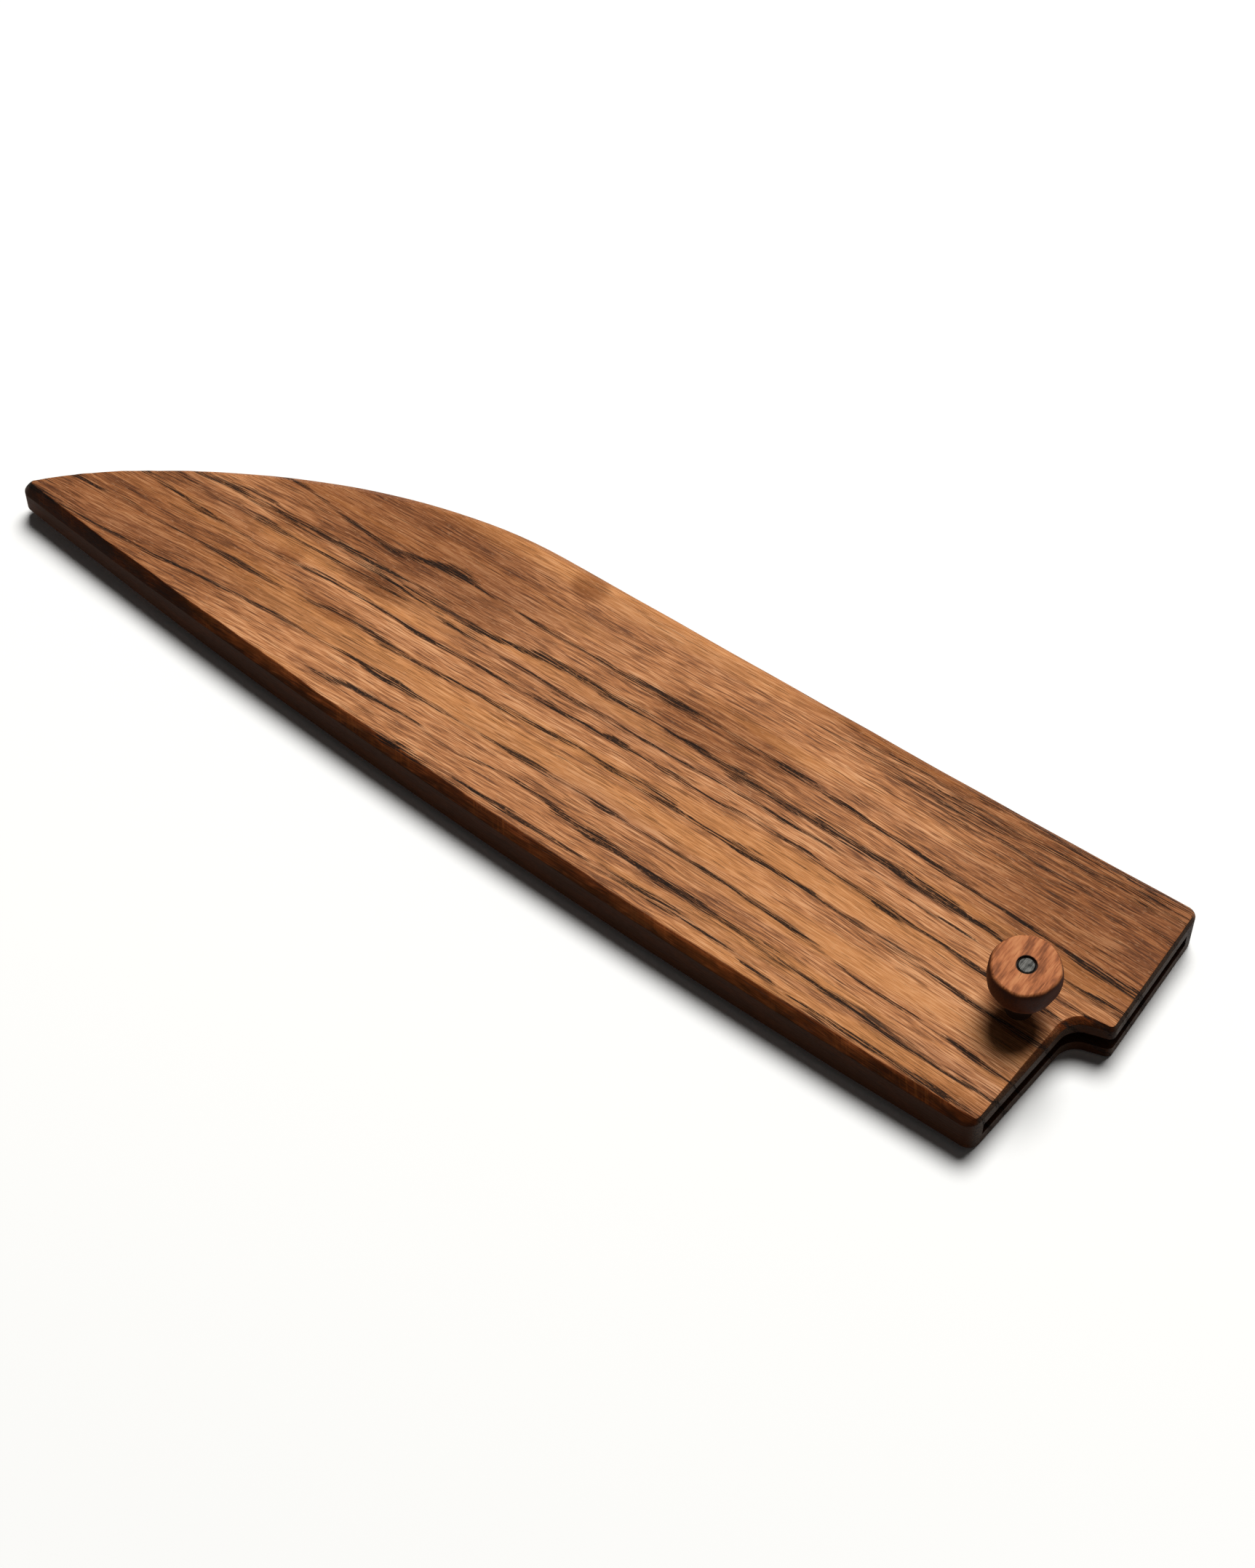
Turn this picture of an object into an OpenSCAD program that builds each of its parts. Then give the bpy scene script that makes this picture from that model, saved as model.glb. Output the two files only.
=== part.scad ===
// Wooden blade guard for a kitchen knife, lying flat, with its retaining pin.
// X runs along the length: the tip is at -X and the open end at +X.
// The blade's spine side is at +Y and its cutting edge side at -Y. Z is up.
// The origin is the middle of the footprint, on the surface that the guard lies on.

/* [Guard] */
// Length from the tip to the open end
guard_l = 222.3; // [180:0.1:260]
// Width from the hump of the spine side to the cutting edge side
guard_w = 57.7; // [50:0.1:70]
// Thickness of the two boards and the spacer together
guard_t = 9.4; // [9:0.1:12]
// Thickness of the lower board
lower_t = 2.8; // [2.8:0.1:3.3]

/* [Outline] */
// How far the cutting edge side rises from the open end to the tip
edge_rise = 14.3; // [5:0.1:25]
// How far the spine side swells between the open end and the hump
hump_rise = 0.4; // [0:0.1:3]
// How far the pull on the spine side's slight hollow reaches below a straight line
spine_dip = 0.7; // [0:0.1:2]
// Distance of the hump from the open end
hump_x = 131.5; // [100:0.5:150]
// Radius of the rounded tip
nose_r = 2; // [1:0.1:5]
// Slope of the spine side where it meets the tip, in degrees
drop_angle = 48.5; // [30:0.5:60]

/* [Open end] */
// Width of the part that stands out at the spine side
neck_w = 28.6; // [20:0.1:36]
// How far that part stands out past the edge side
step_l = 7.1; // [3:0.1:12]
// Slope of the shoulder between the two parts, in degrees
shoulder_angle = 16; // [5:1:40]
// Lean of the edge side's end face, in degrees
heel_lean = 5.6; // [0:0.1:12]
// Radius of the hollow corner of the step
step_r = 4.4; // [2:0.1:8]
// Radius of the corner between the shoulder and the end face
shoulder_r = 1.3; // [0.8:0.1:3]
// Radius of the corner at the spine side
spine_corner_r = 2.4; // [1:0.1:6]
// Radius of the corner at the edge side
edge_corner_r = 2.6; // [1:0.1:6]

/* [Sanded rims] */
// Width of the rim sanded along both long sides
side_rim_w = 1.9; // [0.6:0.1:2]
// Height of that rim
side_rim_h = 1.5; // [0.6:0.1:2.5]
// Width of the cutting edge side's rim at the tip
tip_rim_w = 1.3; // [0.6:0.1:2]
// Height of the rim at the tip
tip_rim_h = 2.7; // [0.6:0.1:2.7]
// Length over which the rim changes towards the tip
tip_rim_l = 60; // [20:1:90]
// Width of the upper rim at the end face
end_rim_w = 0.5; // [0.2:0.1:0.8]
// Height of the upper rim at the end face
end_rim_h = 1.0; // [0.2:0.1:1.5]
// Width of the upper rim in the hollow corner
hollow_rim_w = 1.3; // [0.5:0.1:2]
// Size of the lower rim at the open end
lower_end_rim = 0.3; // [0.1:0.1:0.8]

/* [Blade slot] */
// Height of the slot, which is the thickness of the spacer
slot_h = 3.2; // [2:0.1:3.8]
// Wall between the slot and the spine side
spine_wall = 4; // [3:0.1:8]
// Wall between the slot and the edge side
edge_wall = 3.1; // [3:0.1:8]

/* [Pin] */
// Distance of the pin from the end face
pin_x = 15.3; // [10:0.1:25]
// Distance of the pin from the spine side
pin_y = 33.9; // [25:0.1:40]
// Diameter of the rod
rod_d = 3; // [2:0.1:4]
// Diameter of the rod's hole in the boards
rod_hole_d = 3.12; // [2.1:0.01:4.2]
// Height of the rod's lower end above the underside of the guard
rod_foot = 0.6; // [0:0.1:2]
// Height of the knob
knob_h = 14; // [10:0.1:20]
// Widest diameter of the knob
knob_d = 12.6; // [8:0.1:18]
// Diameter of the knob's flat top
knob_top_d = 11; // [7:0.1:16]
// Diameter of the knob's foot
knob_foot_d = 4.8; // [4.2:0.1:8]

/* [Hidden] */

board_wood = [0.66, 0.42, 0.26];
spacer_wood = [0.42, 0.26, 0.16];
board_wood_dark = [0.50, 0.31, 0.19];
knob_wood = [0.76, 0.47, 0.25];
rod_metal = [0.55, 0.54, 0.53];

// Corners are drawn in this many steps, and the long curves in that many.
corner_steps = 11;
curve_steps = 34;
// A cut reaches this far past the face that it starts from.
reach = 1;

// The outline is worked out from the corner where the spine's line meets the end face,
// and then moved so that the footprint is centred on the origin.
origin_shift = [guard_l / 2, guard_w / 2 - hump_rise];
edge_y = hump_rise - guard_w;
hump = [-hump_x, hump_rise];

function turn(v, a) = [v.x * cos(a) - v.y * sin(a), v.x * sin(a) + v.y * cos(a)];
function heading(a) = [cos(a), sin(a)];
function bezier(p, t) =
    pow(1 - t, 3) * p[0] + 3 * t * pow(1 - t, 2) * p[1]
    + 3 * t * t * (1 - t) * p[2] + pow(t, 3) * p[3];
function arc(c, r, a0, a1, n) = [for (i = [0 : n]) c + r * heading(a0 + (a1 - a0) * i / n)];

// The cutting edge side is a shallow parabola, level at the open end.
edge_span = guard_l - nose_r;
function edge_curve(x) = edge_y + edge_rise * pow(x / edge_span, 2);
function edge_slope(x) = atan(2 * edge_rise * x / pow(edge_span, 2));

// The tip is a round that touches the edge side and the end of the spine side's drop.
nose_slope = edge_slope(-edge_span);
nose_c = [-edge_span, edge_y + edge_rise + nose_r / cos(nose_slope)];
nose_start = nose_c + nose_r * heading(90 + drop_angle);

// The spine side: a slight hollow and a swell from the open end to the hump, then a long
// drop to the tip. A pull is the length of a curve's handle at that end.
swell_pull = 14;
drop_pull = 34;
nose_pull = 24;
swell = [[-spine_corner_r, 0], [-hump_x / 3, -spine_dip], hump + [swell_pull, 0], hump];
drop = [hump, hump - [drop_pull, 0], nose_start + nose_pull * heading(drop_angle), nose_start];

// The end faces and the step between them.
shoulder_dir = heading(180 + shoulder_angle);
heel_dir = heading(270 - heel_lean);
neck_corner = [0, -neck_w];
heel_top = neck_corner + shoulder_dir * step_l / cos(shoulder_angle);
heel_foot = heel_top + heel_dir * (heel_top.y - edge_y) / cos(heel_lean);

// A rounded corner: the arc that touches both lines which meet at p, with unit directions
// u into the corner and v out of it. A left turn has side 1 and a right turn side -1.
function corner_turn(u, v) = atan2(u.x * v.y - u.y * v.x, u * v);
function corner_arc(p, u, v, r) =
    let (a = corner_turn(u, v), side = sign(a), start = p - u * r * tan(abs(a) / 2),
         c = start + side * r * turn(u, 90), a0 = atan2(u.y, u.x) - side * 90)
    arc(c, r, a0, a0 + a, corner_steps);

// The outline runs anticlockwise: along the spine to the tip, back along the edge side,
// and up the open end.
long_points = concat([for (i = [1 : curve_steps]) bezier(swell, i / curve_steps)],
                     [for (i = [1 : curve_steps - 1]) bezier(drop, i / curve_steps)]);
nose_points = arc(nose_c, nose_r, 90 + drop_angle, 270 + nose_slope, corner_steps);
edge_from = nose_points[corner_steps].x;
edge_to = heel_foot.x - edge_corner_r;
edge_points = [for (i = [1 : curve_steps - 1])
    let (x = edge_from + (edge_to - edge_from) * i / curve_steps) [x, edge_curve(x)]];
heel_points = corner_arc(heel_foot, [1, 0], -heel_dir, edge_corner_r);
step_points = corner_arc(heel_top, -heel_dir, -shoulder_dir, step_r);
neck_points = corner_arc(neck_corner, -shoulder_dir, [0, 1], shoulder_r);
spine_points = corner_arc([0, 0], [0, 1], [-1, 0], spine_corner_r);
outline = concat(long_points, nose_points, edge_points, heel_points,
                 step_points, neck_points, spine_points);
count = len(outline);

// One value for all points of a stretch, and values that run evenly from one to another.
function even(points, w) = [for (p = points) w];
function ramp(points, w0, w1) =
    let (n = len(points) - 1) [for (i = [0 : n]) w0 + (w1 - w0) * i / n];
// Towards the tip a rim changes smoothly, from side to tip.
function toward_tip(x, side, tip) =
    let (t = min(1, max(0, (x - edge_from) / tip_rim_l)), s = t * t * (3 - 2 * t))
    tip + (side - tip) * s;

// How far each point of a stretch moves in, square to the stretch, to make a rim of widths w.
function inset_along(points, w) =
    let (n = len(points) - 1)
    [for (i = [0 : n]) let (d = points[min(n, i + 1)] - points[max(0, i - 1)])
        w[i] * turn(d / norm(d), 90)];
// The same round a corner of radius r, entered along the direction u and left along v, where
// rims of widths w0 and w1 meet nearly in a mitre: the drawn-in corner is an arc of its own.
mitre_r = 0.5;
function inset_corner(r, u, v, w0, w1) =
    let (n0 = turn(u, 90), n1 = turn(v, 90), c = n0 * n1, a = corner_turn(u, v),
         b0 = w0 + mitre_r - r, b1 = w1 + mitre_r - r,
         shift = ((b0 - c * b1) * n0 + (b1 - c * b0) * n1) / (1 - c * c))
    [for (i = [0 : corner_steps]) shift + (r - mitre_r) * turn(n0, a * i / corner_steps)];
edge_widths = [for (p = edge_points) toward_tip(p.x, side_rim_w, tip_rim_w)];
function insets(end, hollow) = concat(
    inset_along(long_points, even(long_points, side_rim_w)),
    inset_corner(nose_r, heading(180 + drop_angle), heading(nose_slope), side_rim_w, tip_rim_w),
    inset_along(edge_points, edge_widths),
    inset_corner(edge_corner_r, [1, 0], -heel_dir, side_rim_w, end),
    inset_along(step_points, even(step_points, hollow)),
    inset_along(neck_points, even(neck_points, end)),
    inset_corner(spine_corner_r, [0, 1], [-1, 0], end, side_rim_w));
upper_insets = insets(end_rim_w, hollow_rim_w);
lower_insets = insets(lower_end_rim, lower_end_rim);

// The rim's height at each point.
function heights(tip, end) = concat(
    [for (p = concat(long_points, nose_points, edge_points)) toward_tip(p.x, side_rim_h, tip)],
    ramp(heel_points, side_rim_h, end), even(step_points, end), even(neck_points, end),
    ramp(spine_points, end, side_rim_h));
upper_heights = heights(tip_rim_h, end_rim_h);
lower_heights = heights(tip_rim_h, lower_end_rim);

// A ring is the outline drawn in by a share of the rim's width, at a share of the rim's
// height from the face at z, on the side that up says.
function ring(insets, heights, z, up, share) =
    [for (i = [0 : count - 1])
        let (p = outline[i] + insets[i] * share[1] + origin_shift)
        [p.x, p.y, z + up * heights[i] * share[0]]];

// A board's flat faces are ladders. One rail runs from the open end along the spine to the tip
// and the other along the edge, and each face lies between two rungs. The count of points is even.
spine_rail_start = count - len(spine_points);
ladder = [for (k = [0 : count / 2 - 2])
    let (a = spine_rail_start + k, b = spine_rail_start - 1 - k)
    [a % count, (a + 1) % count, b - 1, b]];

// A board is closed round a stack of rings, the lowest first.
module stack(rings) {
    top = len(rings) - 1;
    sides = [for (k = [0 : top - 1], i = [0 : count - 1])
        let (j = (i + 1) % count)
        [k * count + i, (k + 1) * count + i, (k + 1) * count + j, k * count + j]];
    lid = [for (face = ladder) [for (i = [3 : -1 : 0]) top * count + face[i]]];
    polyhedron(
        points = [for (r = rings, p = r) p],
        faces = concat(ladder, sides, lid),
        convexity = 6);
}

// The rim's section, slightly round: share of its height from the face, share of its width.
rim_section = [[0, 1], [0.28, 0.6], [0.62, 0.27], [1, 0]];

// The plan of the blade slot: below the spine's wall, above the edge's wall, open at the end.
slot_far = 2 * guard_w;
slot_tip_share = 0.94;
slot_spine_line = [for (i = [0 : curve_steps]) bezier(drop, slot_tip_share * i / curve_steps)];
slot_spine_points = slot_spine_line
    + inset_along(slot_spine_line, even(slot_spine_line, spine_wall));
slot_edge_points = [for (i = [0 : curve_steps])
    let (x = edge_from + (reach - edge_from) * i / curve_steps)
    [x, edge_curve(x) + edge_wall]];
module slot_plan() {
    intersection() {
        polygon(concat([[reach, -slot_far], [reach, -spine_wall]], slot_spine_points,
                       [[slot_spine_points[curve_steps].x, -slot_far]]));
        polygon(concat([[reach, slot_far], [edge_from, slot_far]], slot_edge_points));
    }
}

pin_at = [origin_shift.x - pin_x, origin_shift.y - pin_y, 0];
module rod_hole() {
    translate([pin_at.x, pin_at.y, -reach])
        cylinder(h = guard_t + 2 * reach, d = rod_hole_d, $fn = 64);
}

// The boards are flat on the side of the slot. The pin crosses both.
upper_z = lower_t + slot_h;
module upper_board() {
    color(board_wood) difference() {
        stack(concat(
            [ring(upper_insets, upper_heights, upper_z, 0, [0, 0])],
            [for (i = [len(rim_section) - 1 : -1 : 0])
                ring(upper_insets, upper_heights, guard_t, -1, rim_section[i])]));
        rod_hole();
    }
}

module lower_board() {
    color(board_wood_dark) difference() {
        stack(concat(
            [for (share = rim_section) ring(lower_insets, lower_heights, 0, 1, share)],
            [ring(lower_insets, lower_heights, lower_t, 0, [0, 0])]));
        rod_hole();
    }
}

// The spacer is a wall round the blade, glued between the boards, and open at the end.
module blade_spacer() {
    color(spacer_wood) translate([origin_shift.x, origin_shift.y, lower_t])
        linear_extrude(slot_h) difference() {
            polygon(outline);
            slot_plan();
        }
}

// The knob's section, from the flat top down: a softened rim, the widest ring, and a
// swept underside down to the foot that stands on the upper board. Both curves are given by
// four points, each as its distance from the axis and below the top.
knob_widest = 3.6;
knob_foot_h = 1.3;
knob_r = knob_d / 2;
foot_r = knob_foot_d / 2;
top_r = knob_top_d / 2;
knob_rim_section = [[top_r, 0], [knob_r - 0.1, 0.3], [knob_r, 1.2], [knob_r, knob_widest]];
knob_sweep_section = [[knob_r, knob_widest], [knob_r, knob_widest + 3.6],
                      [foot_r, knob_widest + 6], [foot_r, knob_h - knob_foot_h]];
section_steps = 12;
module pin_knob() {
    section = concat(
        [for (i = [0 : section_steps]) bezier(knob_rim_section, i / section_steps)],
        [for (i = [1 : section_steps]) bezier(knob_sweep_section, i / section_steps)],
        [[foot_r, knob_h]]);
    half = concat([for (p = section) [p.x, knob_h - p.y]], [[0, 0], [0, knob_h]]);
    mouth_d = rod_d + 0.5;
    mouth_h = 0.5;
    color(knob_wood) translate([pin_at.x, pin_at.y, guard_t]) difference() {
        rotate_extrude($fn = 96) polygon(half);
        translate([0, 0, -reach]) cylinder(h = knob_h + 2 * reach, d = rod_d, $fn = 64);
        translate([0, 0, knob_h - mouth_h]) cylinder(h = mouth_h + reach, d = mouth_d, $fn = 64);
    }
}

// The rod stops just below the knob's flat top, and its two ends are broken at the rim.
rod_sink = 0.12;
rod_break = 0.2;
module pin_rod() {
    rod_top = guard_t + knob_h - rod_sink;
    rod_r = rod_d / 2;
    color(rod_metal) translate([pin_at.x, pin_at.y, 0]) rotate_extrude($fn = 64)
        polygon([[0, rod_foot], [rod_r - rod_break, rod_foot], [rod_r, rod_foot + rod_break],
                 [rod_r, rod_top - rod_break], [rod_r - rod_break, rod_top], [0, rod_top]]);
}

upper_board();
blade_spacer();
lower_board();
pin_knob();
pin_rod();
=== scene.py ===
import math

import bmesh
import bpy
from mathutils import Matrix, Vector, noise


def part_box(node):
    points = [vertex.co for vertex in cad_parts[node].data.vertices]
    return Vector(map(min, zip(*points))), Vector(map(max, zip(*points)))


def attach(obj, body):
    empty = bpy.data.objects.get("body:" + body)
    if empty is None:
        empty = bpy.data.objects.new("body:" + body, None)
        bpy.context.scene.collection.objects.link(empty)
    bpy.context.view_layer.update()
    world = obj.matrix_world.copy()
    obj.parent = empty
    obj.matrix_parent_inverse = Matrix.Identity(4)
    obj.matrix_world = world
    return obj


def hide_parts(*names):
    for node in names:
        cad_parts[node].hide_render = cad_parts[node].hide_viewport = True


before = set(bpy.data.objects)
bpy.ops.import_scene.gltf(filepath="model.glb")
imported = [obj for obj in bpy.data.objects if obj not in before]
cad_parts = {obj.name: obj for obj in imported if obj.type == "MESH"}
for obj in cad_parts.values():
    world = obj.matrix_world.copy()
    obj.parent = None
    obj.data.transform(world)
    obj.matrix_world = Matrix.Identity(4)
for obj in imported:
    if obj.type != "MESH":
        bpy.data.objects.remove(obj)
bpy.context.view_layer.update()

MM = 0.001
# Heights in mm, as the materials measure them.
GUARD_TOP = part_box("upper_board")[1].z / MM
SLOT_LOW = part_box("blade_spacer")[0].z / MM
SLOT_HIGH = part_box("blade_spacer")[1].z / MM
# The rod's middle and its radius, in metres.
rod_low, rod_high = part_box("pin_rod")
PIN_X = (rod_low.x + rod_high.x) / 2
PIN_Y = (rod_low.y + rod_high.y) / 2
ROD_RADIUS = (rod_high.x - rod_low.x) / 2

# The camera is placed by the photograph's perspective: it looks down at a point on the floor.
VIEW_AIM = Vector((0.01385, -0.00053, 0.0))
VIEW_DISTANCE = 0.63694
VIEW_ELEVATION = math.radians(56.5)
VIEW_TURN = math.radians(34.59)
FOCAL_PIXELS = 5000
IMAGE_WIDTH = 1725
SENSOR_WIDTH = 36
CAMERA_NEAR = 0.01

# The dark streaks of the wood: the half width in mm of the band that a streak's pores fill, how
# dense they are, and points (x, y) in mm on the top face that the middle of the band passes.
STREAKS = [
    (0.8, 1.0, [(-70, 14.6), (-55, 13), (-46, 12.3), (-33, 14.5), (-23, 13.7), (0, 13.1), (30, 12.7),
                (47, 11.8), (65, 10.6), (108, 8)]),
    (1.0, 1.0, [(-88, 6.4), (-76, 7.4), (-58, 7.7), (-44, 7.6), (-23, 6.2), (-8, 7.9), (0, 8.2),
                (19, 7.7), (35, 6.4), (57, 6), (80, 4.6), (108, 3)]),
    (0.5, 0.8, [(-67, 6.8), (-48, 6.5), (-30, 5.2)]),
    (0.5, 0.9, [(-62, 4.2), (-30, 4.3), (-8, 3.7), (0, 3.3), (22, 3.6), (46, 3.7), (66, 2.7),
                (87, 0.9), (108, -1)]),
    (0.6, 1.0, [(-95, 0.8), (-84, 0.2), (-64, -0.5), (-48, 0.2), (-27, -0.2), (0, 0), (15, 0.4),
                (32, 0.3), (45, 0.4), (62, -1.2), (76, -2.2), (98, -3.6)]),
    (0.9, 1.0, [(-52, -5.6), (-44, -4.7), (-33, -5.7), (-10, -4.9), (8, -4.8), (30, -5.4),
                (50, -5.9), (68, -7), (90, -9), (102, -9.6)]),
    (0.6, 1.0, [(-96, -7), (-78, -6.4), (-56, -6)]),
    (0.6, 1.0, [(-88, -13.6), (-73, -12.7), (-55, -11.6), (-27, -11.4), (0, -11.5), (20, -12.2),
                (45, -12.7), (60, -14.2), (72, -16.2), (88, -17.1), (102, -18.4)]),
    (0.8, 1.0, [(-43, -17.1), (-24, -15.7), (-13, -16.8), (0, -16), (20, -17.8), (50, -19.4),
                (68, -21), (87, -22.5), (102, -22.9)]),
    (0.8, 1.0, [(-26, -21.7), (0, -21.8), (24, -22.3), (50, -23.3), (62, -25.4), (80, -26), (100, -26.6)]),
    (1.4, 0.65, [(42, 24.4), (75, 23.6), (110, 24.4)]),
    (1.0, 0.65, [(52, 21.4), (80, 20.6), (110, 20)]),
    (1.3, 0.75, [(66, 26.8), (90, 26.6), (110, 27)]),
]
# How far the fibres have drifted across the board at points along it, both in mm. The drift fades
# out over this distance from the middle towards the spine.
DRIFT = [(-112, -1.6), (-88, -1), (-70, 0), (18, 0), (45, -0.8), (66, -2.2), (87, -3.6), (112, -5.3)]
DRIFT_FADE = 30.0
# Soft spots of stain on the top face, and one painted shadow: place (x, y) and half size (x, y), in mm.
GOLDEN_STAINS = [((-42, -8.5), (26, 2.6)), ((-8, -9.5), (24, 2.4)), ((-60, 3), (10, 2)),
                 ((52, -3.5), (26, 2.4)), ((62, -13), (26, 2.2)), ((58, -20.5), (20, 1.6)),
                 ((84, -24.5), (14, 1.8)), ((-2, 26), (30, 2.6)), ((-42, 26), (26, 2.4)), ((28, -9), (20, 2))]
DARK_STAINS_AND_SHADOW = [((-40, 23), (5, 3)), ((-37, 20.5), (4, 4)), ((-12, 25), (3, 3)), ((-62, 7), (8, 2)),
               ((-26, 9), (7, 2.2)), ((-70, 15), (9, 2.6)), ((-61, 1), (2.5, 3)), ((92, 25), (22, 3.2)),
               ((-80, -13.5), (14, 2)), ((-105, -11), (7, 3)), ((60, 27), (26, 2)), ((-44, 4), (6, 2)),
               # The last spot, round the foot of the knob, is a painted shadow of the knob.
               ((-48, -5), (6, 1.6)), ((96, -7), (5, 4.5))]
# Wide darker areas, each with its strength after its half size.
BROAD_DARK_AREAS = [((-96, -6), (34, 12), 0.64), ((-47, 17), (28, 9), 0.74), ((26, 12), (14, 5), 0.6),
                ((102, 16), (24, 13), 0.72), ((98, -27), (14, 3), 0.5)]
# The squared distance, in half sizes, at which a stain starts to fade and at which it is gone.
STAIN_CORE = 0.1
STAIN_REACH = 2.4

# The noises of the materials: the lengths in mm of their features along x, y and z, their detail,
# their roughness, and a seed that keeps them apart.
GRAINS = {
    "ripple": ((40, 7, 7), 1.0, 0.5, 3.0),
    "flutter": ((9, 2.5, 3), 1.0, 0.5, 6.0),
    "swell": ((13, 5, 50), 1.0, 0.5, 4.0),
    "broken": ((17, 1.6, 50), 1.0, 0.5, 5.0),
    "long dash": ((12, 0.2, 0.35), 1.5, 0.45, 1.0),
    "short dash": ((6, 0.14, 0.25), 1.0, 0.4, 2.0),
    "crumb": ((0.9, 0.14, 0.2), 1.0, 0.5, 14.0),
    "bunch": ((32, 2.2, 3), 1.0, 0.5, 17.0),
    "hair": ((4.5, 0.15, 0.25), 1.0, 0.6, 10.0),
    "thread": ((1.3, 0.13, 0.2), 1.0, 0.5, 16.0),
    "wide": ((70, 3.2, 4), 3.0, 0.55, 7.0),
    "cloud": ((12, 7, 9), 2.0, 0.5, 8.0),
    "fibre": ((10, 0.4, 0.6), 3.0, 0.65, 9.0),
    "warm": ((45, 4, 6), 2.0, 0.5, 11.0),
    "grey": ((50, 5, 6), 2.0, 0.5, 12.0),
    "stroke": ((0.4, 5, 5), 2.0, 0.5, 15.0),
    "patch": ((7, 3, 2.5), 3.0, 0.6, 18.0),
    "end cut": ((1, 0.25, 0.25), 2.0, 0.6, 13.0),
    "knob wide": ((1.7, 6, 3), 3.0, 0.6, 21.0),
    "knob fibre": ((0.3, 3.5, 0.4), 3.0, 0.6, 22.0),
    "knob pore": ((0.22, 2.2, 0.3), 1.0, 0.5, 23.0),
    "brushed": ((0.12, 1.6, 2.5), 2.0, 0.5, 31.0),
    "worn": ((0.8, 0.8, 3), 2.0, 0.5, 32.0),
}


class Graph:
    """Short calls that add nodes to the tree of a material or a world."""

    def __init__(self, owner):
        self.owner = owner
        owner.use_nodes = True
        self.tree = owner.node_tree
        self.tree.nodes.clear()

    def node(self, kind, inputs=None, **settings):
        """A new node. inputs gives sockets, by name or number, a value or another node's output."""
        made = self.tree.nodes.new(kind)
        for key, value in settings.items():
            setattr(made, key, value)
        for key, value in (inputs or {}).items():
            if isinstance(value, bpy.types.NodeSocket):
                self.tree.links.new(value, made.inputs[key])
            else:
                made.inputs[key].default_value = value
        return made

    def math(self, operation, *values):
        return self.node("ShaderNodeMath", dict(enumerate(values)), operation=operation).outputs[0]

    def add(self, *values):
        total = values[0]
        for value in values[1:]:
            total = self.math("ADD", total, value)
        return total

    def scale(self, value, factor):
        return self.math("MULTIPLY", value, factor)

    def swing(self, value, width):
        """A value from 0 to 1 as a swing of this width, half of it to each side of zero."""
        return self.math("MULTIPLY_ADD", value, width, -width / 2)

    def square_sum(self, a, b):
        return self.add(self.math("MULTIPLY", a, a), self.math("MULTIPLY", b, b))

    def split(self, vector):
        made = self.node("ShaderNodeSeparateXYZ", {"Vector": vector})
        return made.outputs[0], made.outputs[1], made.outputs[2]

    def grain(self, place, kind):
        """One of the GRAINS, from 0 to 1, at a place (x, y, z) in mm."""
        lengths, detail, roughness, seed = GRAINS[kind]
        x, y, z = [self.scale(part, 1 / length) for part, length in zip(place, lengths)]
        vector = self.node("ShaderNodeCombineXYZ", {"X": x, "Y": y, "Z": z}).outputs[0]
        made = self.node("ShaderNodeTexNoise", {"Vector": vector, "W": seed, "Scale": 1.0, "Detail": detail,
                                                "Roughness": roughness}, noise_dimensions="4D")
        return made.outputs["Fac"]

    def step(self, value, low, high, to_low=0.0, to_high=1.0):
        """A smooth step from to_low to to_high while value goes from low to high."""
        made = self.node("ShaderNodeMapRange", {"Value": value, "From Min": low, "From Max": high,
                                                "To Min": to_low, "To Max": to_high},
                         interpolation_type="SMOOTHSTEP")
        return made.outputs["Result"]

    def curve(self, value, points):
        """A smooth curve through points, each coordinate from 0 to 1."""
        made = self.node("ShaderNodeFloatCurve", {"Value": value})
        line = made.mapping.curves[0]
        for point in points[1:-1]:
            line.points.new(*point)
        line.points[0].location = points[0]
        line.points[-1].location = points[-1]
        made.mapping.update()
        return made.outputs[0]

    def mix(self, factor, a, b, blend="MIX"):
        """Two colours mixed. The node has sockets for other kinds of value between its own."""
        made = self.node("ShaderNodeMix", {0: factor, 6: a, 7: b}, data_type="RGBA", blend_type=blend)
        return made.outputs[2]

    def tint(self, factor, colour, by):
        """A colour that goes over, as factor goes to 1, into itself multiplied by another."""
        return self.mix(factor, colour, self.mix(1.0, colour, by, "MULTIPLY"))

    def ramp(self, value, stops):
        made = self.node("ShaderNodeValToRGB", {"Fac": value})
        band = made.color_ramp
        while len(band.elements) < len(stops):
            band.elements.new(0.5)
        for element, (place, colour) in zip(band.elements, stops):
            element.position = place
            element.color = colour
        return made.outputs[0]

    def place_mm(self):
        """Where a point is on the object, in mm."""
        place = self.node("ShaderNodeTexCoord").outputs["Object"]
        scaled = self.node("ShaderNodeVectorMath", {0: place, "Scale": 1 / MM}, operation="SCALE")
        return self.split(scaled.outputs[0])

    def facing(self):
        """The surface's direction along x, y and z."""
        return self.split(self.node("ShaderNodeTexCoord").outputs["Normal"])

    def bump(self, height_mm):
        return self.node("ShaderNodeBump", {"Height": height_mm, "Strength": 1.0, "Distance": MM}).outputs[0]

    def surface(self, inputs):
        """The material, with a principled shader that has these inputs."""
        shader = self.node("ShaderNodeBsdfPrincipled", inputs)
        self.node("ShaderNodeOutputMaterial", {"Surface": shader.outputs[0]})
        return self.owner


def rgb(red, green, blue):
    """A colour as read from a screen, 0 to 255, as the linear colour of a shader (sRGB formula)."""
    def linear(part):
        part = part / 255
        return part / 12.92 if part <= 0.04045 else ((part + 0.055) / 1.055) ** 2.4
    return (linear(red), linear(green), linear(blue), 1.0)


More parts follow.
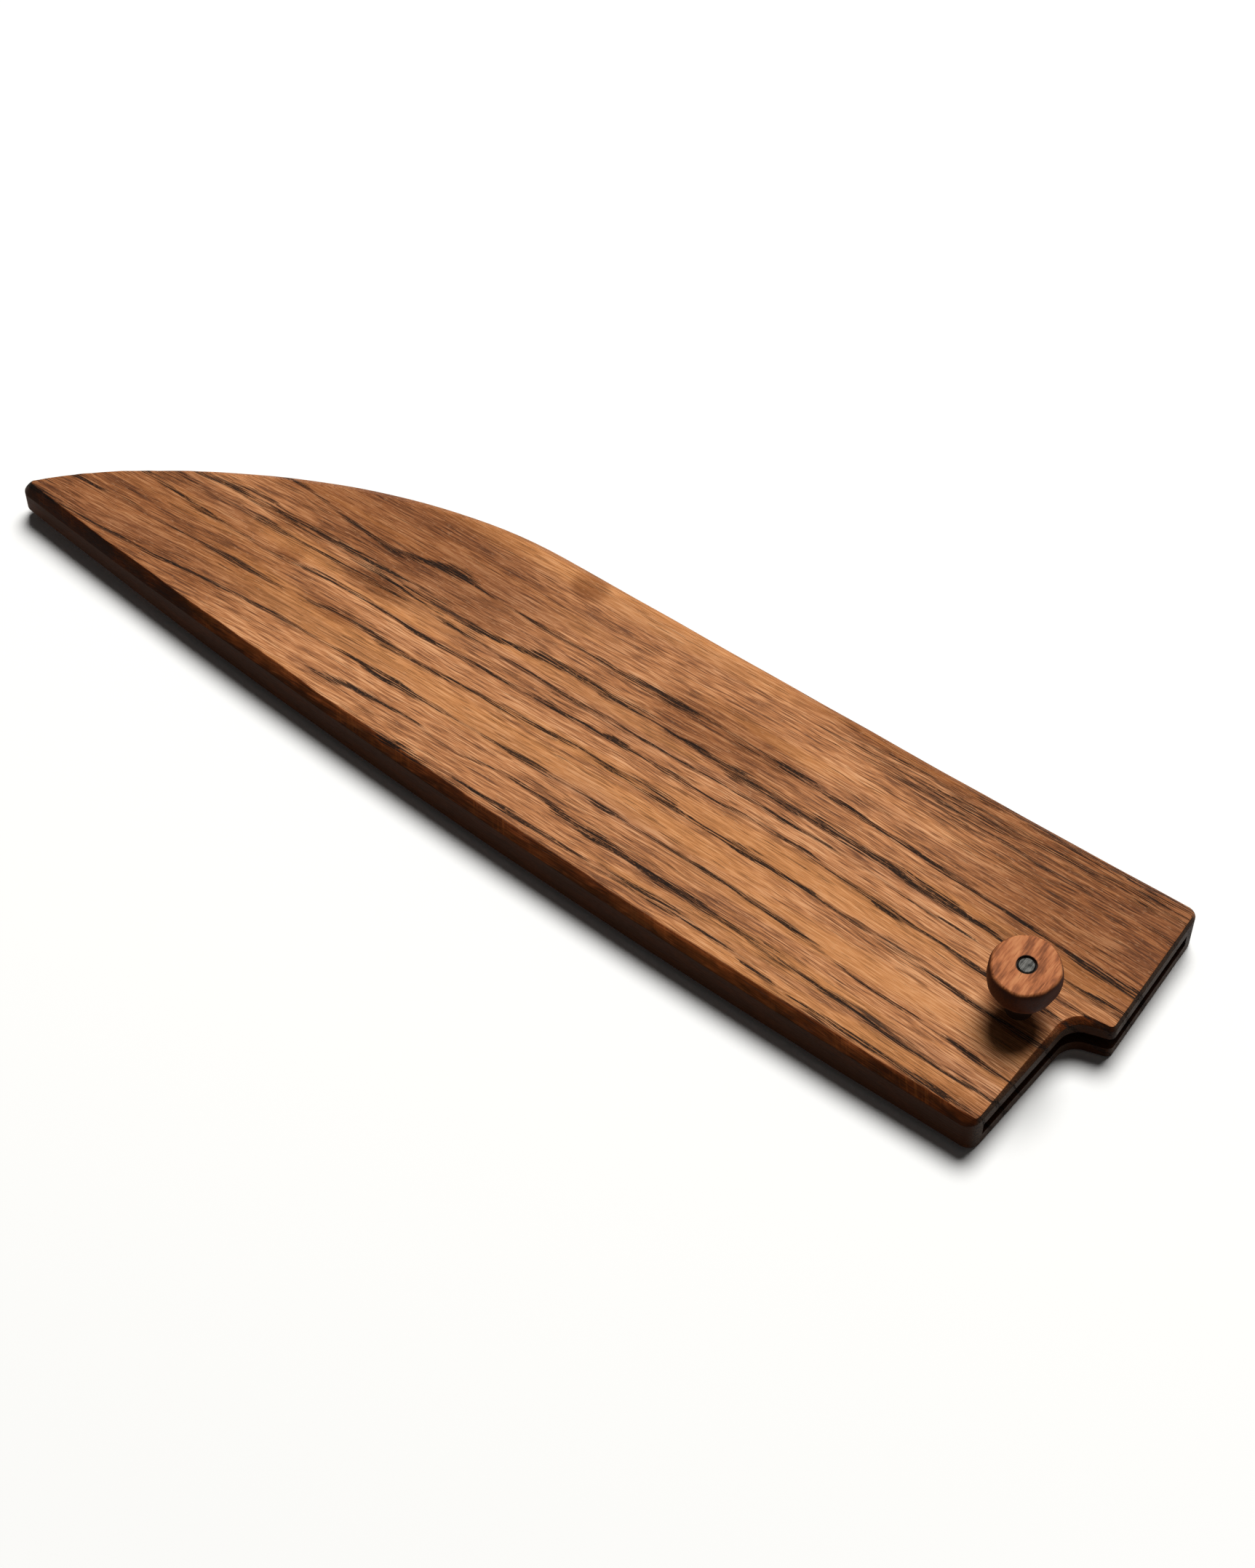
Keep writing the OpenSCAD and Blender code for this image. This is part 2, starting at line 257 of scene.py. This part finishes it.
# The boards' colours. A tint is what the wood's own colour is multiplied by.
WOOD_TONES = [(0.0, rgb(112, 71, 47)), (0.35, rgb(171, 111, 69)),
              (0.65, rgb(200, 134, 86)), (1.0, rgb(230, 170, 121))]
GOLDEN = rgb(216, 145, 80)
GREY_TINT = rgb(214, 216, 236)
DARK_TINT = rgb(174, 152, 128)
BAND_TINT = rgb(178, 176, 186)
THREAD_PALE = rgb(222, 170, 128)
# Painted shade on the edge side's rim.
RIM_SHADE = rgb(164, 130, 106)
STROKE_ORANGE = rgb(150, 82, 38)
# Painted shade, deeper, low on the edge side's rim and side.
DEEP_SHADE = rgb(106, 108, 90)
# Painted shade: the sides all round are darker than the top.
SHADED_SIDE_BROWN = rgb(98, 60, 38)
SIDE_SHADE = rgb(210, 210, 210)
END_TONES = [(0.0, rgb(34, 24, 18)), (1.0, rgb(84, 62, 46))]
FLECK_DARK = rgb(52, 37, 29)
PORE_DARK = rgb(36, 29, 26)
# Painted shade inside the slot.
SLOT_SHADE = rgb(84, 74, 66)
# The colours of the knob and the rod.
KNOB_TONES = [(0.0, rgb(122, 70, 42)), (0.5, rgb(182, 110, 68)), (1.0, rgb(208, 138, 90))]
# Painted shade: the knob's sides are darker than its top.
KNOB_SIDE_SHADE = rgb(92, 74, 64)
# Painted shade at the knob's waist and foot.
KNOB_FOOT_SHADE = rgb(30, 19, 13)
KNOB_PORE_DARK = rgb(90, 48, 32)
# Painted shade in the gap round the rod.
KNOB_BRIM_SHADE = rgb(34, 24, 20)
METAL_TONES = [(0.38, rgb(22, 22, 21)), (0.62, rgb(68, 67, 64))]
# The oil's gloss is faint: more would lay the white studio over the sides.
BOARD_SPECULAR = 0.05
KNOB_SPECULAR = 0.06

# The curves of the streaks run over this span, in mm, along x and across it.
SPAN_X = 112
SPAN_Y = 32
# How far the grain leans across the board for each mm of depth, and how wide its waves swing, in mm.
GRAIN_LEAN = 0.4
RIPPLE_WIDTH = 1.4
FLUTTER_WIDTH = 0.6
# A streak's band is full up to the first of these shares of its half width and ends at the second.
BAND_CORE = 0.35
BAND_REACH = 1.5
# A streak that starts or ends between these x fades over twice this length, in mm.
FADE_FROM = -60
FADE_TO = 90
BAND_FADE = 5
# In mm: how deep the relief of the pores is, and how high that of the fibres.
PORE_RELIEF = -0.10
FLECK_RELIEF = -0.05
FIBRE_RELIEF = 0.05
KNOB_RELIEF = 0.04
METAL_RELIEF = 0.01


def line_across(g, along, points):
    """Where a line through points (x, y) in mm is across the board, along from 0 to 1."""
    spread = [(-SPAN_X, points[0][1])] + points + [(SPAN_X, points[-1][1])]
    spread = [point for k, point in enumerate(spread) if k == 0 or point[0] > spread[k - 1][0]]
    share = g.curve(along, [((px + SPAN_X) / (2 * SPAN_X), (py + SPAN_Y) / (2 * SPAN_Y))
                            for px, py in spread])
    return g.math("MULTIPLY_ADD", share, 2 * SPAN_Y, -SPAN_Y)


def streak_bands(g, x, along, across):
    """How near each point is to the middle of a streak, from 0 to 1."""
    swell = g.step(g.grain((x, across, across), "swell"), 0.34, 0.66, 1.9, 0.65)
    broken = g.step(g.grain((x, across, across), "broken"), 0.34, 0.5, 0.5, 1.0)
    total = 0.0
    for half_width, density, points in STREAKS:
        off = g.math("ABSOLUTE", g.math("SUBTRACT", across, line_across(g, along, points)))
        off = g.math("MULTIPLY", off, swell)
        band = g.step(off, BAND_CORE * half_width, BAND_REACH * half_width, density, 0.0)
        first, last = points[0][0], points[-1][0]
        if first > FADE_FROM:
            band = g.math("MULTIPLY", band, g.step(x, first - BAND_FADE, first + BAND_FADE))
        if last < FADE_TO:
            band = g.math("MULTIPLY", band, g.step(x, last - BAND_FADE, last + BAND_FADE, 1.0, 0.0))
        total = g.math("MAXIMUM", total, band)
    return g.math("MULTIPLY", total, broken)


def soft_spots(g, x, y, places):
    """Soft spots at places ((x, y), (half size x, half size y), strength), from 0 to 1."""
    total = 0.0
    for (centre_x, centre_y), (half_x, half_y), *strength in places:
        off_x = g.math("MULTIPLY_ADD", x, 1 / half_x, -centre_x / half_x)
        off_y = g.math("MULTIPLY_ADD", y, 1 / half_y, -centre_y / half_y)
        spot = g.step(g.square_sum(off_x, off_y), STAIN_CORE, STAIN_REACH,
                      strength[0] if strength else 1.0, 0.0)
        total = g.math("MAXIMUM", total, spot)
    return total


def open_pores(g, fibres, y, band):
    """The long dashes that fill the streaks, and the short flecks all over, each from 0 to 1.

    A dash shows where its noise is over a limit, and that is lower in the streaks. For the flecks
    it is lower too in bunches and at the spine side near the open end."""
    crumb = g.grain(fibres, "crumb")
    limit = g.add(0.775, g.scale(band, -0.26), g.scale(crumb, -0.07))
    pore = g.step(g.math("SUBTRACT", g.grain(fibres, "long dash"), limit), -0.012, 0.026)
    pore = g.math("MULTIPLY", pore, g.step(crumb, 0.38, 0.46, 0.4, 1.0))
    bunch = g.step(g.grain(fibres, "bunch"), 0.48, 0.62, 0.0, -0.08)
    dense = g.math("MULTIPLY", g.step(fibres[0], 30, 80), g.step(y, 6, 18))
    limit = g.add(0.7, g.scale(band, -0.12), bunch, g.scale(dense, -0.06))
    fleck = g.step(g.math("SUBTRACT", g.grain(fibres, "short dash"), limit), -0.02, 0.04)
    return pore, fleck


def areas_and_shadow(g, place, across, cloud, colour):
    """The colour with its golden, greyish and dark areas, and a painted shadow at the knob's foot."""
    x, y, _ = place
    warm = g.step(g.grain(place, "warm"), 0.52, 0.7)
    warm = g.math("MAXIMUM", warm, soft_spots(g, x, across, GOLDEN_STAINS))
    colour = g.mix(g.scale(warm, 0.36), colour, GOLDEN)
    grey = g.step(g.grain(place, "grey"), 0.5, 0.68, 0.0, 0.4)
    colour = g.tint(grey, colour, GREY_TINT)
    # Dark stains and wide darker areas. The dark spot at the knob's foot is a painted shadow.
    dark = g.math("MULTIPLY", soft_spots(g, x, across, DARK_STAINS_AND_SHADOW), g.step(cloud, 0.3, 0.55, 0.4, 1.0))
    dark = g.math("MAXIMUM", g.scale(dark, 0.75), soft_spots(g, x, y, BROAD_DARK_AREAS))
    return g.tint(dark, colour, DARK_TINT)


def sanded(g, place, slope, outward_y, cloud, fibre, colour):
    """The colour of its sanded rims and sides, with painted shade: the sides all round are darker than the
    top.

    The edge side, which faces away from the light, is the darkest. Its rim gets painted shade too, and there
    the sandpaper left short strokes across the rim."""
    x, y, z = place
    streaky = g.swing(fibre, 0.5)
    # Painted shade: the edge side, which faces away from the light, gets a darker rim.
    edge_side_shade = g.step(outward_y, -0.15, 0.15, 1.0, 0.05)
    stroke = g.grain((g.math("MULTIPLY_ADD", y, 0.8, x), y, z), "stroke")
    stroke = g.math("MULTIPLY", g.step(stroke, 0.5, 0.62), g.step(cloud, 0.45, 0.58))
    rim_colour = g.mix(1.0, colour, RIM_SHADE, "MULTIPLY")
    rim_colour = g.mix(g.scale(stroke, 0.5), rim_colour, STROKE_ORANGE)
    rim = g.step(g.math("ADD", slope, g.scale(streaky, 0.25)), 0.015, 0.13)
    colour = g.mix(g.math("MULTIPLY", rim, edge_side_shade), colour, rim_colour)
    patch = g.grain(place, "patch")
    reach = g.add(slope, g.scale(streaky, 0.4), g.swing(patch, 0.5))
    deep = g.math("MULTIPLY", g.step(reach, 0.08, 0.26), g.step(patch, 0.42, 0.64, 1.0, 0.6))
    # Painted shade, deeper, low on the edge side's rim and side.
    colour = g.tint(g.math("MULTIPLY", deep, edge_side_shade), colour, DEEP_SHADE)
    # Painted shade: the sides all round are darker than the top.
    side_shade_colour = g.mix(1.0, g.mix(0.45, colour, SHADED_SIDE_BROWN), SIDE_SHADE, "MULTIPLY")
    return g.mix(g.step(slope, 0.5, 0.9), colour, side_shade_colour)


def in_slot(g, place, flat_z, outward_y, walls):
    """From 0 to 1, where the wood is at the slot's height and faces the slot, which gets painted shade."""
    x, y, z = place
    above = g.step(z, SLOT_LOW - 0.1, SLOT_LOW - 0.05)
    below = g.step(z, SLOT_HIGH + 0.05, SLOT_HIGH + 0.1, 1.0, 0.0)
    if walls:
        # A wall faces the slot where it faces the slot's middle, which bends aside towards the tip.
        middle = g.step(x, -SPAN_X, -0.4 * SPAN_X, -12.0, 0.0)
        inward = g.math("MULTIPLY", outward_y, g.math("SUBTRACT", y, middle))
        faces_it = g.step(inward, -0.2, 0.2, 1.0, 0.0)
    else:
        faces_it = g.step(flat_z, 0.8, 0.95)
    return g.math("MULTIPLY", g.math("MULTIPLY", above, below), faces_it)


def wood(name, walls=False):
    """Oiled open-pored wood, grain along x, solid all through, so that ends and sides agree.

    walls says that the piece is the slot's walls, whose inner sides get the same painted shade as the slot's
    floor."""
    g = Graph(bpy.data.materials.new(name))
    place = g.place_mm()
    x, y, z = place
    outward_x, outward_y, outward_z = g.facing()
    flat_z = g.math("ABSOLUTE", outward_z)
    slope = g.math("SUBTRACT", 1.0, flat_z)

    # Where a point is across the board in the wood's own grain, which leans, waves and drifts.
    along = g.math("MULTIPLY_ADD", x, 0.5 / SPAN_X, 0.5)
    across = g.add(y, g.scale(g.math("SUBTRACT", z, GUARD_TOP), GRAIN_LEAN),
                   g.swing(g.grain(place, "ripple"), RIPPLE_WIDTH),
                   g.swing(g.grain(place, "flutter"), FLUTTER_WIDTH))
    drift = g.math("MULTIPLY", line_across(g, along, DRIFT), g.step(y, 0.0, DRIFT_FADE, 1.0, 0.0))
    fibres = (x, g.math("SUBTRACT", across, drift), z)

    # The colour between the pores.
    band = streak_bands(g, x, along, across)
    hair = g.grain(fibres, "hair")
    cloud = g.grain(place, "cloud")
    fibre = g.grain(fibres, "fibre")
    tone = g.add(g.scale(g.grain(fibres, "wide"), 0.32), g.scale(cloud, 0.22),
                 g.scale(fibre, 0.36), g.scale(hair, 0.8))
    colour = g.ramp(g.step(tone, 0.63, 1.07), WOOD_TONES)
    colour = areas_and_shadow(g, place, across, cloud, colour)
    colour = g.tint(g.scale(band, 0.5), colour, BAND_TINT)
    pale = g.step(g.grain(fibres, "thread"), 0.6, 0.72, 0.0, 0.4)
    colour = g.mix(pale, colour, THREAD_PALE)
    colour = sanded(g, place, slope, outward_y, cloud, fibre, colour)
    cut = g.ramp(g.step(g.grain(place, "end cut"), 0.36, 0.68), END_TONES)
    colour = g.mix(g.step(g.math("ABSOLUTE", outward_x), 0.6, 0.9), colour, cut)

    # The pores, and painted shade on the wood inside the slot.
    pore, fleck = open_pores(g, fibres, y, band)
    fleck_shows = g.math("MULTIPLY", fleck, g.math("MULTIPLY_ADD", band, 0.3, 0.5))
    colour = g.mix(fleck_shows, colour, FLECK_DARK)
    colour = g.mix(g.scale(pore, 0.93), colour, PORE_DARK)
    colour = g.tint(in_slot(g, place, flat_z, outward_y, walls), colour, SLOT_SHADE)

    height = g.add(g.scale(pore, PORE_RELIEF), g.scale(fleck, FLECK_RELIEF),
                   g.scale(fibre, FIBRE_RELIEF), g.scale(hair, FIBRE_RELIEF))
    rough = g.add(0.5, g.scale(pore, 0.3), g.scale(fibre, 0.12))
    return g.surface({"Specular IOR Level": BOARD_SPECULAR, "Base Color": colour,
                      "Roughness": rough, "Normal": g.bump(height)})


def knob_wood(name):
    """Turned wood whose fibres run across the knob, along y."""
    g = Graph(bpy.data.materials.new(name))
    place = g.place_mm()
    x, y, z = place
    flat_z = g.math("ABSOLUTE", g.facing()[2])
    wide = g.grain(place, "knob wide")
    fibre = g.grain(place, "knob fibre")
    tone = g.step(g.add(g.scale(wide, 0.75), g.scale(fibre, 0.4)), 0.42, 0.76)
    colour = g.ramp(tone, KNOB_TONES)
    # Painted shade: the knob's sides are darker than its top.
    colour = g.tint(g.step(flat_z, 0.3, 0.85, 1.0, 0.0), colour, KNOB_SIDE_SHADE)
    # Painted shade: the waist and the foot, from 11 to 1 mm above the board, are darkened.
    foot = g.step(z, GUARD_TOP + 1, GUARD_TOP + 11, 0.95, 0.0)
    colour = g.mix(foot, colour, KNOB_FOOT_SHADE)
    pore = g.step(g.grain(place, "knob pore"), 0.66, 0.74)
    colour = g.mix(g.scale(pore, 0.6), colour, KNOB_PORE_DARK)
    # Painted shade: the hole for the rod has a dark brim, where the gap round the rod lies in shadow.
    off_x = g.math("SUBTRACT", x, PIN_X / MM)
    off_y = g.math("SUBTRACT", y, PIN_Y / MM)
    reach = g.math("SUBTRACT", g.math("SQRT", g.square_sum(off_x, off_y)), ROD_RADIUS / MM)
    brim_shade = g.step(g.add(reach, g.scale(wide, 0.3)), 0.3, 0.62, 1.0, 0.0)
    colour = g.mix(brim_shade, colour, KNOB_BRIM_SHADE)
    height = g.add(g.scale(pore, -KNOB_RELIEF), g.scale(fibre, KNOB_RELIEF))
    rough = g.add(0.48, g.scale(fibre, 0.15))
    return g.surface({"Specular IOR Level": KNOB_SPECULAR, "Base Color": colour,
                      "Roughness": rough, "Normal": g.bump(height)})


def cut_metal(name):
    """The rod: steel with fine marks along it and a brushed cut end."""
    g = Graph(bpy.data.materials.new(name))
    place = g.place_mm()
    brushed = g.grain(place, "brushed")
    worn = g.grain(place, "worn")
    colour = g.ramp(g.add(g.scale(brushed, 0.5), g.scale(worn, 0.5)), METAL_TONES)
    rough = g.math("MULTIPLY_ADD", worn, 0.3, 0.35)
    return g.surface({"Metallic": 1.0, "Base Color": colour, "Roughness": rough,
                      "Normal": g.bump(g.scale(brushed, METAL_RELIEF))})


WELD_DISTANCE = 1e-6
# How far up, or down, a face points that is rebuilt, and one that is flat.
SKIN_NORMAL = 0.1
FLAT_NORMAL = 0.9999
# The rim's section, from the side to the flat face: the share of its width at each row. A row of
# its own just inside the flat face keeps that face flat.
RIM_ROWS = [0.04, 0.13, 0.26, 0.4, 0.55, 0.7, 0.84, 0.94, 1.0]
RIM_BULGE = 0.22
RIM_ROLL = 0.03 * MM
ROLL_SHARE = 0.05
FACE_MARGIN = 0.5 * MM
RIM_STEP = 0.8 * MM
# A rim of this width wanders fully, and a narrower one less.
FULL_RIM = 1.5 * MM
# How far the rim wanders, and about how long the swings are.
EDGE_WANDER = 0.24 * MM
EDGE_SWING = 9 * MM
EDGE_NIBBLE = 0.10 * MM
NIBBLE_SWING = 2.5 * MM
FOOT_WANDER = 0.14 * MM
FOOT_SWING = 12 * MM
FACET_DEPTH = 0.05 * MM
FACET_SWING = 5 * MM
BULGE_WANDER = 0.35
BULGE_SWING = 14 * MM


def walk(edges):
    """The vertices of a closed loop of edges, anticlockwise from above, longest edge last."""
    neighbours = {}
    for edge in edges:
        for vertex in edge.verts:
            neighbours.setdefault(vertex, []).append(edge.other_vert(vertex))
    loop = [edges[0].verts[0]]
    before = None
    while True:
        a, b = neighbours[loop[-1]]
        following = b if a is before else a
        if following is loop[0]:
            break
        before = loop[-1]
        loop.append(following)
    pairs = list(zip(loop, loop[1:] + loop[:1]))
    area = sum(a.co.x * b.co.y - a.co.y * b.co.x for a, b in pairs)
    if area < 0:
        loop.reverse()
        pairs = list(zip(loop, loop[1:] + loop[:1]))
    lengths = [(a.co - b.co).length for a, b in pairs]
    start = (lengths.index(max(lengths)) + 1) % len(loop)
    return loop[start:] + loop[:start]


def wander(place, length, seed):
    """Smooth noise from -1 to 1 whose swings are about length long."""
    return noise.noise(Vector((place / length, seed, 0.5 * seed)))


def cad_copy(node):
    """A CAD node's mesh, with its faces joined at their corners."""
    bm = bmesh.new()
    bm.from_mesh(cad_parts[node].data)
    bmesh.ops.remove_doubles(bm, verts=bm.verts, dist=WELD_DISTANCE)
    return bm


def sanded_board(node, name, up):
    """A copy of a CAD board with its rim rebuilt finely, uneven as hand sanding leaves it."""
    bm = cad_copy(node)
    skin = {face for face in bm.faces if up * face.normal.z > SKIN_NORMAL}
    flat = {face for face in skin if up * face.normal.z > FLAT_NORMAL}

    def between(inner, outer):
        return [edge for edge in bm.edges
                if any(face in inner for face in edge.link_faces)
                and any(face in outer for face in edge.link_faces)]

    others = set(bm.faces) - skin
    foot = walk(between(skin - flat, others))
    edge_line = [vertex.co.copy() for vertex in walk(between(flat, skin - flat))]
    hole = between(flat, others)
    bmesh.ops.delete(bm, geom=[face for face in bm.faces if face in skin], context="FACES")

    # Columns run from the foot of the rim to the edge of the flat face.
    columns = []
    for i, vertex in enumerate(foot):
        following = foot[(i + 1) % len(foot)]
        here, there = edge_line[i], edge_line[(i + 1) % len(foot)]
        parts = max(1, round((following.co - vertex.co).length / RIM_STEP))
        columns.append((vertex, here.copy()))
        current = vertex
        for k in range(1, parts):
            edge = bm.edges.get((current, following))
            current = bmesh.utils.edge_split(edge, current, 1 / (parts - k + 1))[1]
            columns.append((current, here.lerp(there, k / parts)))

    rows = [[vertex for vertex, _ in columns]]
    rows += [[] for _ in range(len(RIM_ROWS) + 1)]
    run = 0.0
    for i, (vertex, edge_point) in enumerate(columns):
        run += (vertex.co - columns[i - 1][0].co).length
        inward = Vector((edge_point.x - vertex.co.x, edge_point.y - vertex.co.y, 0))
        width = inward.length
        inward.normalize()
        worn = min(1, width / FULL_RIM) ** 2
        width += worn * (EDGE_WANDER * wander(run, EDGE_SWING, seed=1)
                         + EDGE_NIBBLE * wander(run, NIBBLE_SWING, seed=2))
        vertex.co.z += up * worn * FOOT_WANDER * wander(run, FOOT_SWING, seed=3)
        rise = edge_point.z - vertex.co.z
        bulge = RIM_BULGE * (1 + BULGE_WANDER * worn * wander(run, BULGE_SWING, seed=4))
        for row, share in enumerate(RIM_ROWS, 1):
            middle = 4 * share * (1 - share)
            facet = worn * middle * FACET_DEPTH * wander(run, FACET_SWING, seed=5 + 2 * share)
            height = rise * (share + bulge * share * (1 - share)) + up * facet
            if share == 1:
                height -= up * min(RIM_ROLL, abs(rise) * ROLL_SHARE)
            rows[row].append(bm.verts.new(vertex.co + inward * width * share + Vector((0, 0, height))))
        rows[-1].append(bm.verts.new((vertex.co.x + inward.x * (width + FACE_MARGIN),
                                      vertex.co.y + inward.y * (width + FACE_MARGIN), edge_point.z)))
    count = len(columns)
    for low, high in zip(rows, rows[1:]):
        for i in range(count):
            j = (i + 1) % count
            bm.faces.new((low[i], low[j], high[j], high[i]))
    face_edges = [bm.edges.get((rows[-1][i], rows[-1][(i + 1) % count])) for i in range(count)]
    bmesh.ops.triangle_fill(bm, edges=face_edges + hole, use_beauty=True)
    bmesh.ops.recalc_face_normals(bm, faces=bm.faces)
    return finished(bm, name)


KNOB_CUT = 0.17 * MM
# Nothing is cut this near to the rod.
KNOB_CORE = ROD_RADIUS + 1.2 * MM
# Two noises shape the cuts, a slow one and one of short flats: how often each swings round the
# knob, how long its swings are up it, and its share of the cut.
SLOW_SWING = (1.6, 9 * MM)
SLOW_SHARE = 1.3
FLAT_SWING = (4, 5 * MM)
FLAT_SHARE = 0.7
MEAN_CUT = 0.5


def carved_knob(node, name):
    """A copy of the CAD knob with the shallow, uneven flats that a knife leaves round it."""
    bm = cad_copy(node)
    centre = Vector((PIN_X, PIN_Y, 0))

    def swing(outward, height, often, length):
        return noise.noise(Vector((outward.x * often, outward.y * often, height / length)))

    for vertex in bm.verts:
        outward = vertex.co - centre
        outward.z = 0
        radius = outward.length
        if radius < KNOB_CORE:
            continue
        outward.normalize()
        slow = swing(outward, vertex.co.z, *SLOW_SWING)
        flats = swing(outward, vertex.co.z, *FLAT_SWING)
        grown = min(1, (radius - KNOB_CORE) / KNOB_CORE)
        vertex.co += outward * KNOB_CUT * grown * (SLOW_SHARE * slow + FLAT_SHARE * flats - MEAN_CUT)
    return finished(bm, name)


def in_scene(name, data):
    """A new object in the scene, made of this data."""
    made = bpy.data.objects.new(name, data)
    bpy.context.scene.collection.objects.link(made)
    return made


def mesh_object(bm, name):
    mesh = bpy.data.meshes.new(name)
    bm.to_mesh(mesh)
    bm.free()
    return in_scene(name, mesh)


SHARP_ANGLE = math.radians(50)
# The shading of a corner follows its largest faces.
LARGE_FACES_ONLY = 100


def finished(bm, name):
    """An object made of bm, shaded smooth except at its sharp edges."""
    for face in bm.faces:
        face.smooth = True
    for edge in bm.edges:
        edge.smooth = edge.calc_face_angle(0) < SHARP_ANGLE
    made = mesh_object(bm, name)
    weighted = made.modifiers.new("Face normals", "WEIGHTED_NORMAL")
    weighted.keep_sharp = True
    weighted.weight = LARGE_FACES_ONLY
    return made


def dress(made, material, node, body):
    """Gives a piece its material, and has it stand for the CAD node on that body."""
    made.data.materials.clear()
    made.data.materials.append(material)
    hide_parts(node)
    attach(made, body)


def repaint(node, material):
    """Gives a CAD node that stays as it is its material."""
    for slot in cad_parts[node].material_slots:
        slot.material = material


dress(sanded_board("upper_board", "upper_board_sanded", 1), wood("board_wood"),
      "upper_board", "sheath")
dress(sanded_board("lower_board", "lower_board_sanded", -1), wood("board_wood_dark"),
      "lower_board", "sheath")
repaint("blade_spacer", wood("spacer_wood", walls=True))
dress(carved_knob("pin_knob", "pin_knob_carved"), knob_wood("knob_wood"),
      "pin_knob", "pin")
repaint("pin_rod", cut_metal("rod_metal"))


# The floor and the light. The lamp is large, nearly overhead, behind the guard and to its right.
FLOOR_HALF = 3.0
FLOOR_DROP = 0.05 * MM
# What the camera sees of the floor is paper white. What its light does to the guard is less.
FLOOR_SEEN = (1.06, 1.055, 1.03, 1)
FLOOR_BOUNCE = (0.12, 0.117, 0.112, 1)
# The floor goes over into the background between these distances from the guard's middle.
FLOOR_NEAR = 0.14
FLOOR_FAR = 0.28
BACKGROUND = (1.0, 0.995, 0.985, 1)
LAMP_DISTANCE = 2.6
LAMP_SIZE = 1.35
LAMP_TILT = math.radians(24)
LAMP_TURN = math.radians(22)
LAMP_POWER = 74
AMBIENT = 0.028


def floor():
    """Pale paper under the guard, which fades into the white background beyond its shadow."""
    bm = bmesh.new()
    corners = [(-FLOOR_HALF, -FLOOR_HALF), (FLOOR_HALF, -FLOOR_HALF),
               (FLOOR_HALF, FLOOR_HALF), (-FLOOR_HALF, FLOOR_HALF)]
    bm.faces.new([bm.verts.new((x, y, -FLOOR_DROP)) for x, y in corners])
    made = mesh_object(bm, "floor")
    g = Graph(bpy.data.materials.new("floor_paper"))
    rays = g.node("ShaderNodeLightPath").outputs
    seen = g.math("MAXIMUM", rays["Is Camera Ray"], rays["Is Glossy Ray"])
    matt = g.node("ShaderNodeBsdfDiffuse", {"Color": g.mix(seen, FLOOR_BOUNCE, FLOOR_SEEN)})
    white = g.node("ShaderNodeEmission", {"Color": BACKGROUND, "Strength": 1.0})
    x, y, _ = g.split(g.node("ShaderNodeTexCoord").outputs["Object"])
    distance = g.math("SQRT", g.square_sum(x, y))
    far = g.math("MULTIPLY", g.step(distance, FLOOR_NEAR, FLOOR_FAR), seen)
    both = g.node("ShaderNodeMixShader", {0: far, 1: matt.outputs[0], 2: white.outputs[0]})
    g.node("ShaderNodeOutputMaterial", {"Surface": both.outputs[0]})
    made.data.materials.append(g.owner)


def surroundings():
    """White where the camera or a reflection sees it, and a dim even light for all else."""
    world = bpy.data.worlds.new("studio")
    bpy.context.scene.world = world
    g = Graph(world)
    rays = g.node("ShaderNodeLightPath").outputs
    seen = g.math("MAXIMUM", rays["Is Camera Ray"], rays["Is Glossy Ray"])
    seen = g.math("MAXIMUM", seen, rays["Is Transmission Ray"])
    strength = g.node("ShaderNodeMapRange", {"Value": seen, "To Min": AMBIENT, "To Max": 1.0})
    background = g.node("ShaderNodeBackground", {"Color": BACKGROUND, "Strength": strength.outputs[0]})
    g.node("ShaderNodeOutputWorld", {"Surface": background.outputs[0]})


def lamp():
    data = bpy.data.lights.new("key", "AREA")
    data.shape = "DISK"
    data.size = LAMP_SIZE
    data.energy = LAMP_POWER
    made = in_scene("key", data)
    heading = VIEW_TURN - LAMP_TURN
    away = Vector((-math.sin(heading), math.cos(heading), 0)) * math.sin(LAMP_TILT)
    direction = away + Vector((0, 0, math.cos(LAMP_TILT)))
    made.location = VIEW_AIM + direction * LAMP_DISTANCE
    made.rotation_euler = direction.to_track_quat("Z", "Y").to_euler()


def camera():
    data = bpy.data.cameras.new("camera")
    data.sensor_fit = "HORIZONTAL"
    data.sensor_width = SENSOR_WIDTH
    data.lens = FOCAL_PIXELS / IMAGE_WIDTH * SENSOR_WIDTH
    data.clip_start = CAMERA_NEAR
    made = in_scene("camera", data)
    back = Vector((math.sin(VIEW_TURN), -math.cos(VIEW_TURN), 0)) * math.cos(VIEW_ELEVATION)
    back += Vector((0, 0, math.sin(VIEW_ELEVATION)))
    made.location = VIEW_AIM + back * VIEW_DISTANCE
    made.rotation_euler = back.to_track_quat("Z", "Y").to_euler()
    bpy.context.scene.camera = made


floor()
surroundings()
lamp()
camera()
bpy.context.scene.view_settings.view_transform = "Standard"

bpy.context.view_layer.update()
